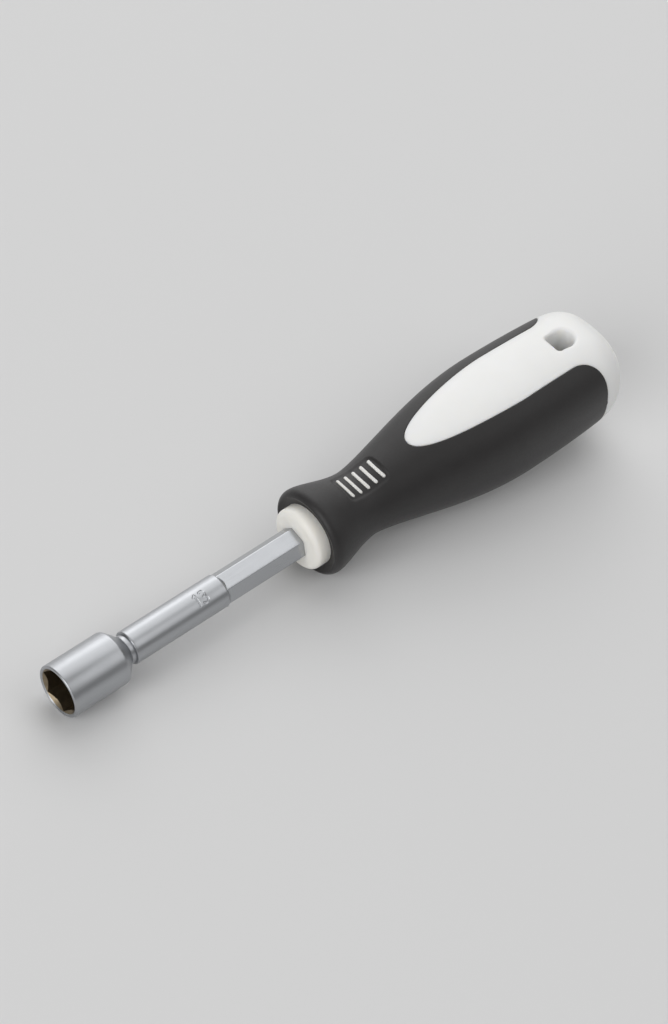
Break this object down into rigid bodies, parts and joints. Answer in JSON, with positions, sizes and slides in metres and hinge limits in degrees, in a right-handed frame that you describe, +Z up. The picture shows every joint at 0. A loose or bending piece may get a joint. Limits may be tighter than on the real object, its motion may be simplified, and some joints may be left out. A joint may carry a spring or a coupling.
{
  "type": "nut driver",
  "caption": "Nut driver with a hexagon socket, round barrel and hexagon shank in a light moulded handle that has a dark soft grip and a hang hole.",
  "frame": {"origin": "centre of the lying tool's bounding box, on the surface that it lies on", "axes": "+X from the socket to the handle's rear end, +Z up; the tool's own axis rises by 3.45 degrees towards the handle, as it lies on socket and palm"},
  "size_m": [0.2168, 0.039, 0.0386],
  "materials": {
    "chromed_steel": "satin chrome plate on forged steel",
    "core_plastic": "moulded, satin",
    "shell_plastic": "moulded, satin",
    "grip_rubber": "soft moulding with a fine matt texture"
  },
  "bodies": {
    "root": {"blade": "chromed_steel", "handle_core": "core_plastic", "handle_shell": "shell_plastic", "grip": "grip_rubber"}
  },
  "joints": []
}
